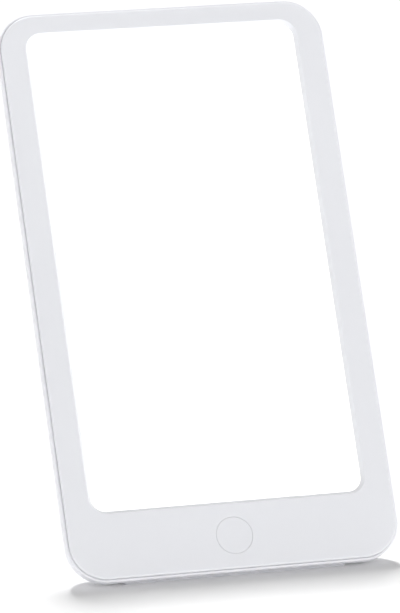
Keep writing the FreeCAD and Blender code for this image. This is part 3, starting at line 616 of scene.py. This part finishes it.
def makeFrontFoot():
    low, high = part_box("front_foot_strip")
    piece = startBox("ribbedFrontFoot", low, high)
    pickEdges(piece, lambda a, b: abs(a.z - b.z) > slack)
    bpy.ops.mesh.bevel(offset=frontFoot["cornerMm"] * mm, segments=frontFoot["cornerSteps"])
    bpy.ops.object.mode_set(mode="OBJECT")
    applyBevel(piece, ribs["edgeMm"])
    pressRibs(piece, low, high)
    useFor(piece, "front_foot_strip")


legPad = {"thickMm": 1.8, "legMm": 4.0, "tongueWideMm": 34, "tongueThickMm": 1.6}


def makeLegPad():
    # a sole cut level under the leaning leg, with a tongue that keys it into the leg's end
    low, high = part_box("stand_foot_pad")
    sole = legPad["legMm"] * mm / math.cos(legLean)
    thick = legPad["thickMm"] * mm
    halfTongue = legPad["tongueThickMm"] * mm / math.cos(legLean) / 2
    halfWide = legPad["tongueWideMm"] * mm / 2
    middle = high.y - sole / 2
    base = Vector((low.x, high.y - sole, low.z))
    piece = startBox("ribbedLegPad", base, Vector((high.x, high.y, low.z + thick)))
    applyBevel(piece, ribs["edgeMm"])
    pressRibs(piece, base, high)
    cutAlong(piece, (0, 1, 0), (middle - halfTongue, middle + halfTongue))
    cutAlong(piece, (1, 0, 0), (-halfWide, halfWide))
    # the sole's top slides forward, so that its sides lean with the leg
    pickFaces(piece, lambda face: face.center.z > thick - ribs["edgeMm"] * mm)
    bpy.ops.transform.translate(value=(0, -thick * math.tan(legLean), 0))
    bpy.ops.object.mode_set(mode="OBJECT")
    middle -= thick * math.tan(legLean)
    pickFaces(piece, lambda face: face.normal.z > facing and face.center.z > thick / 2
              and abs(face.center.y - middle) < halfTongue and abs(face.center.x) < halfWide)
    rise = high.z - low.z - thick
    extrudeBy((0, -rise * math.tan(legLean), rise))
    useFor(piece, "stand_foot_pad")


makeFrontFoot()
makeLegPad()
print("feet made, with", ribs["count"], "ribs each")


# light strips: one LED cup pressed in, then repeated along the strip and mirrored to the other side
ledCup = {"wallMm": 0.35, "deepMm": 0.25}


def makeLedStrips():
    low, high = faceSpan("leds_right")
    length = ledRow["packageMm"] * mm
    pitch = ledRow["pitchMm"] * mm
    right = startBox("ledStripRight", low, Vector((high.x, low.y + length, high.z)))
    pickFaces(right, lambda face: face.normal.x < -facing)
    bpy.ops.mesh.inset(thickness=ledCup["wallMm"] * mm)
    extrudeBy((ledCup["deepMm"] * mm, 0, 0))
    repeatAlong(right, round((high.y - low.y - length) / pitch) + 1, (0, pitch, 0))
    left = copyAs("ledStripLeft")
    left.scale.x = -1
    applyPlace()
    bpy.ops.object.mode_set(mode="EDIT")
    bpy.ops.mesh.select_all(action="SELECT")
    bpy.ops.mesh.normals_make_consistent(inside=False)
    bpy.ops.object.mode_set(mode="OBJECT")
    for piece, node in ((left, "leds_left"), (right, "leds_right")):
        standUp(piece)
        useFor(piece, node)


# small-outline chips: an epoxy body with four tinned gull-wing legs on each long side
chipLegs = {"count": 4, "pitchMm": 1.27, "wideMm": 0.4, "thickMm": 0.18, "rootMm": 0.2, "outMm": 0.25,
            "tipMm": 0.5, "bodyUpMm": 0.12, "edgeMm": 0.15}


def makeChips():
    low, high = faceSpan("driver_chip")
    middle = (low + high) / 2
    body = startBox("driverChip", low + Vector((0, 0, chipLegs["bodyUpMm"] * mm)), high)
    body.data.materials.append(finishes["driver_chip"])
    applyBevel(body, chipLegs["edgeMm"], 1)
    half = Vector((chipLegs["wideMm"], chipLegs["rootMm"], chipLegs["thickMm"])) * mm / 2
    firstX = middle.x - (chipLegs["count"] - 1) / 2 * chipLegs["pitchMm"] * mm
    root = Vector((firstX, high.y, middle.z))
    legs = startBox("chipLegs", root - half, root + half)
    out = chipLegs["outMm"] * mm
    drop = middle.z - low.z - half.z
    for move in ((0, out, 0), (0, out, -drop), (0, chipLegs["tipMm"] * mm, 0)):
        end = max(face.center.y for face in legs.data.polygons)
        pickFaces(legs, lambda face: face.center.y > end - slack)
        extrudeBy(move)
    repeatAlong(legs, chipLegs["count"], (chipLegs["pitchMm"] * mm, 0, 0))
    legs.data.materials.append(zincSteel)
    copyAs("farLegs")
    bpy.ops.transform.rotate(value=math.pi, orient_axis="Z", center_override=middle)
    legs.select_set(True)
    body.select_set(True)
    bpy.context.view_layer.objects.active = body
    bpy.ops.object.join()
    applyPlace()
    other = copyAs("controllerChip")
    bpy.ops.transform.translate(value=faceSpan("controller_chip")[0] - low)
    applyPlace()
    for piece, node in ((other, "controller_chip"), (body, "driver_chip")):
        standUp(piece)
        useFor(piece, node)


# electrolytic capacitors: a can with a crimped neck at the board and a bare, recessed top; the neck has
# three heights, of its lower edge, its narrowest ring and its upper edge
canShape = {"radiusMm": 2.5, "neckMm": (0.7, 1.0, 1.3), "neckShare": 0.9, "rimMm": 0.45, "rimDeepMm": 0.12,
            "edgeMm": 0.175, "edgeSteps": 3, "sides": 32}


def makeCapacitors():
    low, high = faceSpan("filter_capacitors")
    radius = canShape["radiusMm"] * mm
    rim = canShape["rimMm"] * mm
    middle = Vector((low.x + radius, (low.y + high.y) / 2, (low.z + high.z) / 2))
    bpy.ops.object.select_all(action="DESELECT")
    bpy.ops.mesh.primitive_cylinder_add(
        vertices=canShape["sides"], radius=radius, depth=high.z - low.z, location=middle)
    can = bpy.context.object
    can.name = "filterCapacitors"
    applyPlace()
    heights = [low.z + height * mm for height in canShape["neckMm"]]
    cutAlong(can, (0, 0, 1), heights)
    pickEdges(can, lambda a, b: max(abs(a.z - heights[1]), abs(b.z - heights[1])) < slack)
    bpy.ops.transform.resize(
        value=(canShape["neckShare"], canShape["neckShare"], 1), center_override=middle)
    pickFaces(can, lambda face: face.normal.z > facing)
    bpy.ops.mesh.inset(thickness=rim)
    extrudeBy((0, 0, -canShape["rimDeepMm"] * mm))
    # the outer edge of the top is rounded
    pickEdges(can, lambda a, b: min(a.z, b.z) > high.z - slack
              and min((a - middle).xy.length, (b - middle).xy.length) > radius - rim / 2)
    bpy.ops.mesh.bevel(offset=canShape["edgeMm"] * mm, segments=canShape["edgeSteps"])
    bpy.ops.object.mode_set(mode="OBJECT")
    repeatAlong(can, 2, (high.x - low.x - 2 * radius, 0, 0))
    standUp(can)
    useFor(can, "filter_capacitors")


makeLedStrips()
makeChips()
makeCapacitors()
print("board parts and light strips made")

# a long lens from the front, a little to the lamp's left and above it
camera = {"azimuth": -16.22, "elevation": 14.37, "awayMetres": 2.067, "lookAtMm": (2.51, 57.26, 97.66),
          "lensMm": 294.75, "sensorMm": 36, "farthestMetres": 50}


def awayTo(azimuth, elevation):
    # direction from the lamp to a place round it; azimuth 0 is straight in front, and it grows to the right
    turn = math.radians(azimuth)
    rise = math.radians(elevation)
    return Vector((math.sin(turn) * math.cos(rise), -math.cos(turn) * math.cos(rise), math.sin(rise)))


def putInScene(data, away):
    # a camera or a light, turned to look back at the lamp from that direction
    piece = bpy.data.objects.new(data.name, data)
    bpy.context.scene.collection.objects.link(piece)
    piece.rotation_euler = away.to_track_quat("Z", "Y").to_euler()
    return piece


def addCamera(spec):
    data = bpy.data.cameras.new("productCamera")
    data.sensor_fit = "VERTICAL"
    data.sensor_height = spec["sensorMm"]
    data.lens = spec["lensMm"]
    data.clip_end = spec["farthestMetres"]
    away = awayTo(spec["azimuth"], spec["elevation"])
    piece = putInScene(data, away)
    piece.location = Vector(spec["lookAtMm"]) * mm + away * spec["awayMetres"]
    bpy.context.scene.camera = piece


addCamera(camera)

# soft studio light: a pale tent all round; a soft box behind the lamp, nearly in line with its leaning
# back, so that only a short shadow falls forward; a wide low box at the front right for the face and the
# underside; and a low one at the left for the side wall
tent = {"colour": "#ffffff", "light": 0.31, "seen": 1.05}
lamps = {
    "backBox": {"azimuth": 176, "elevation": 56.5, "softDeg": 9, "strength": 2.5, "colour": "#ffffff"},
    "leftBox": {"azimuth": -95, "elevation": 10, "softDeg": 30, "strength": 1.2, "colour": "#ffffff"},
    "frontBox": {"azimuth": 26, "elevation": 7, "softDeg": 44, "strength": 2.42, "colour": "#ffffff"},
}


def addTent(spec):
    # the tent lights the lamp less than the camera sees of it, so that the background stays white
    world = bpy.data.worlds.new("whiteTent")
    world.use_nodes = True
    tree = world.node_tree
    tree.nodes.clear()
    path = addNode(tree, "LightPath", {})
    strength = addNode(tree, "MapRange", {
        "Value": path.outputs["Is Camera Ray"], "To Min": spec["light"], "To Max": spec["seen"]})
    glow = addNode(tree, "Background", {
        "Color": toLinear(spec["colour"]), "Strength": strength.outputs["Result"]})
    addNode(tree, "OutputWorld", {"Surface": glow.outputs["Background"]})
    bpy.context.scene.world = world


def addLamp(name, spec):
    data = bpy.data.lights.new(name, "SUN")
    data.energy = spec["strength"]
    data.angle = math.radians(spec["softDeg"])
    data.color = toLinear(spec["colour"])[:3]
    putInScene(data, awayTo(spec["azimuth"], spec["elevation"]))


addTent(tent)
for name, spec in lamps.items():
    addLamp(name, spec)

# white studio floor: matt painted board
floorFinish = {"colour": "#f6f6f6", "shade": "#f4f4f4", "cloudMm": 400, "roughness": (0.7, 0.8),
               "wideMetres": 12}


def addFloor(spec):
    bpy.ops.object.select_all(action="DESELECT")
    bpy.ops.mesh.primitive_plane_add(size=spec["wideMetres"], location=(0, 0, 0))
    floor = bpy.context.object
    floor.name = "studioFloor"
    floor.data.materials.append(foamedSheet("mattPaint", spec))


addFloor(floorFinish)
bpy.context.scene.view_settings.view_transform = "Standard"
print("camera, lights and floor are in place")
